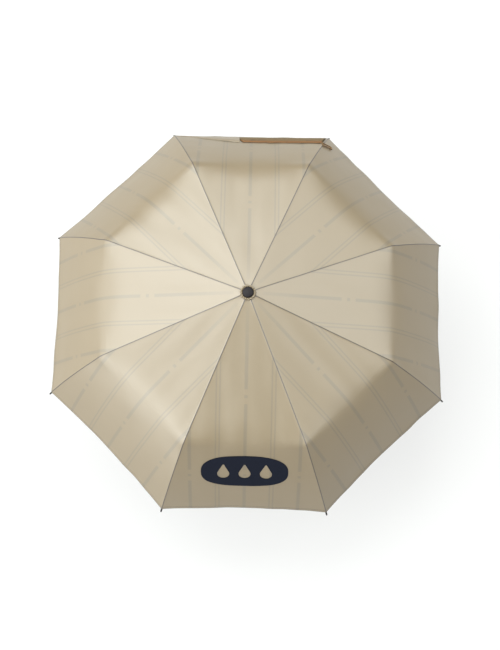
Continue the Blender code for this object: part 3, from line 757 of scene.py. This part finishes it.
def makeRuffle():
    # a ring of cloth gathered under the cap's edge, pleated more towards its outside
    look = ruffle

    def place(s, t):
        radius, height = crossSection(look["section"], t)
        turn = 2 * math.pi * s
        phase = look["pleats"] * turn + look["unevenness"] * math.sin(3 * turn)
        radius += look["depth"] * 0.6 * t * math.sin(phase)
        height += look["depth"] * t * (0.3 + math.cos(phase))
        return Vector((
            radius * math.cos(turn) * mm, radius * math.sin(turn) * mm, crownPivot[1] + height * mm
        ))

    work = mappedSheet(352, 10, place, lambda s, t: (s * 0.1, t * 0.01), "panelFlat", joined=True)
    faceUp(work)
    bmesh.ops.solidify(work, geom=work.faces[:], thickness=look["thickness"])
    return finishMesh("crownRuffle", work, plainPongee, "shaft_top")


ink = {
    "panel": math.radians(-90),
    "fromCrown": 424 * mm,
    "half": (94 * mm, 46 * mm),
    "step": 2 * mm,
    "roundness": 2.6,
    "lift": 0.4 * mm,
    "thickness": 0.1 * mm,
    "dropRadius": 13 * mm,
    "dropHeight": 30 * mm,
    "dropSpacing": 46 * mm,
    "dropDown": 7 * mm,
}


def inkField(u, v):
    # below zero on the badge, above it outside and inside its three open raindrops
    look = ink
    wide, tall = look["half"]
    power = look["roundness"]
    oval = (abs(u) / wide) ** power + (abs(v) / tall) ** power - 1
    worst = oval * tall / power
    radius, height = look["dropRadius"], look["dropHeight"]
    for number in (-1, 0, 1):
        side, low = abs(u - number * look["dropSpacing"]), v - look["dropDown"]
        bowl = radius - math.hypot(side, low)
        if low < 0:
            # straight flanks that touch the bowl and meet in a point
            sine = radius / height
            flank = (height + low) * sine - side * math.sqrt(1 - sine * sine)
            if -low > radius * sine:
                bowl = flank
        worst = max(worst, bowl)
    return worst


def makeInk(number, side):
    # the half of the badge beside one rib; its edge is drawn on to the badge's true outline
    look = ink
    work = bmesh.new()
    wide, tall = look["half"]
    columns = round(wide / look["step"]) + 1
    rows = round(2 * tall / look["step"]) + 2
    bmesh.ops.create_grid(work, x_segments=columns, y_segments=rows, size=0.5)
    for vert in work.verts:
        vert.co.x = side * (vert.co.x + 0.5) * columns * look["step"]
        vert.co.y = vert.co.y * rows * look["step"]
    outside = [face for face in work.faces if inkField(*face.calc_center_median().xy) > 0]
    bmesh.ops.delete(work, geom=outside, context="FACES")
    small = 0.1 * mm
    for turn in range(4):
        for vert in work.verts:
            if not vert.is_boundary or abs(vert.co.x) < 0.1 * mm:
                continue
            x, y = vert.co.xy
            value = inkField(x, y)
            slope = Vector((inkField(x + small, y) - value, inkField(x, y + small) - value)) / small
            if slope.length > 0.1:
                move = slope * (-value / slope.length_squared)
                if move.length < 1.5 * look["step"]:
                    vert.co.xy += move * 0.8
    layer = work.loops.layers.uv.new("panelFlat")
    for face in work.faces:
        for loop in face.loops:
            loop[layer].uv = loop.vert.co.xy
    for vert in work.verts:
        distance = look["fromCrown"] + vert.co.y
        halfWidth = readLine(plainLine, distance).x * math.sin(halfAngle)
        vert.co = surfacePoint(look["panel"], vert.co.x / halfWidth, distance, look["lift"])
    faceUp(work)
    bmesh.ops.solidify(work, geom=work.faces[:], thickness=look["thickness"])
    return finishMesh(f"printedBadge{number}", work, navyInk, f"outer_rib_{number}")


# what lies on the outer stretches is passed to gatherOnRib with their keep and lap; the loop with a keep of 0.5
outerGather = stretches[2][2:]
gatherOnRib(makeStrap(), 2, 1, *outerGather)
gatherOnRib(makeHemFold(), 3, -1, *outerGather)
gatherOnRib(makeLoop(), 2, -1, *outerGather[:2], 0.5, 1.2 * mm)
gatherOnRib(makeInk(6, -1), 6, 1, *outerGather)
gatherOnRib(makeInk(7, 1), 7, -1, *outerGather)
makeRuffle()
print("strap, loop, turned hem and ruffle made")


# carried-over parts get their finish

finishes = {
    "steel_bright": nickelSteel,
    "steel_black": blackZincSteel,
    "plastic_charcoal": charcoalAbs,
}
for entry in frame["record"]["subparts"]:
    finish = finishes.get(entry["material_slot"])
    if finish is None:
        continue
    node = frame["nodes"][entry["node"]]
    for slot in node.material_slots:
        slot.material = softTouchAbs if entry["node"].startswith("handle") else finish
print("shaft, handle, crown, runner and ribs finished")


# floor, light and camera

studio = {
    "floorSize": 30.0,
    "floorGap": 1 * mm,
    "floorColour": "#8a8a89",
    "floorGlow": 0.57,         # the floor is a lit opal table, so shadows stay faint
    "skyLow": 0.55,            # brightness of the room at the horizon and overhead
    "skyHigh": 0.08,
    "skyReach": 0.85,          # how high up the room is as dim as overhead
    "boxDistance": 4.6,        # round softboxes round the crown, all this far from it
    "boxHeight": 0.5,
    "boxTint": (0.965, 1.0, 0.985),
    "boxes": {                 # turn, rise, width and strength
        "backLeft": (120, 60, 3.8, 2.65),
        "nearLeft": (200, 60, 3.8, 1.15),
        "lowLeft": (160, 30, 5.4, 2.45),
        "frontLeft": (220, 30, 5.4, 3.70),
        "right": (0, 45, 4.4, 1.92),
        "backRight": (60, 60, 3.8, 1.28),
    },
}


def makeStage():
    work = bmesh.new()
    bmesh.ops.create_grid(work, x_segments=2, y_segments=2, size=studio["floorSize"] / 2)
    bmesh.ops.translate(work, verts=work.verts, vec=(0, 0, -studio["floorGap"]))
    mesh = bpy.data.meshes.new("floor")
    work.to_mesh(mesh)
    work.free()
    floor = bpy.data.objects.new("floor", mesh)
    bpy.context.scene.collection.objects.link(floor)
    made, tree, shader = newMaterial("opalGlass")
    setInputs(tree, shader, {
        "Base Color": hexLinear(studio["floorColour"]), "Roughness": 0.9,
        "Emission Color": (1, 1, 1, 1), "Emission Strength": studio["floorGlow"],
    })
    mesh.materials.append(made)


def makeLights():
    world = bpy.data.worlds.new("softRoom")
    bpy.context.scene.world = world
    world.use_nodes = True
    tree = world.node_tree
    way = addNode(tree, "TexCoord").outputs["Generated"]
    rise = addNode(tree, "SeparateXYZ", {0: way}).outputs[2]
    level = addNode(
        tree, "MapRange",
        {
            "Value": rise, "From Max": studio["skyReach"],
            "To Min": studio["skyLow"], "To Max": studio["skyHigh"],
        },
        interpolation_type="SMOOTHSTEP",
    )
    setInputs(tree, tree.nodes["Background"], {"Color": (1, 1, 1, 1), "Strength": level})
    distance = studio["boxDistance"]
    for name, (turn, rise, width, strength) in studio["boxes"].items():
        lamp = bpy.data.lights.new(name, "AREA")
        lamp.shape = "DISK"
        lamp.size = width
        lamp.color = studio["boxTint"]
        lamp.energy = strength * math.pi * distance ** 2
        holder = bpy.data.objects.new(name, lamp)
        bpy.context.scene.collection.objects.link(holder)
        turn, rise = math.radians(turn), math.radians(rise)
        away = Vector((math.cos(turn) * math.cos(rise), math.sin(turn) * math.cos(rise), math.sin(rise)))
        holder.location = Vector((0, 0, studio["boxHeight"])) + away * distance
        holder.rotation_euler = away.to_track_quat("Z", "Y").to_euler()


cameraSetup = {
    "azimuth": 0.22,
    "elevation": 76.45,
    "roll": 0.92,
    "distance": 3.0,
    "target": (5.4 * mm, -42.6 * mm, 450 * mm),
    "lens": 75.9,
}


def makeCamera():
    # azimuth is counted from the front, which is -Y
    setup = cameraSetup
    turn, rise, roll = (math.radians(setup[key]) for key in ("azimuth", "elevation", "roll"))
    back = Vector((math.sin(turn) * math.cos(rise), -math.cos(turn) * math.cos(rise), math.sin(rise)))
    right = Vector((0, 0, 1)).cross(back).normalized()
    up = back.cross(right)
    right, up = right * math.cos(roll) + up * math.sin(roll), up * math.cos(roll) - right * math.sin(roll)
    data = bpy.data.cameras.new("camera")
    data.lens = setup["lens"]
    data.sensor_width = 36
    data.clip_end = 50
    camera = bpy.data.objects.new("camera", data)
    bpy.context.scene.collection.objects.link(camera)
    place = Vector(setup["target"]) + back * setup["distance"]
    camera.matrix_world = Matrix((
        (right.x, up.x, back.x, place.x),
        (right.y, up.y, back.y, place.y),
        (right.z, up.z, back.z, place.z),
        (0, 0, 0, 1),
    ))
    bpy.context.scene.camera = camera


makeStage()
makeLights()
makeCamera()
bpy.context.scene.view_settings.view_transform = "Standard"
print("stage, lights and camera made")
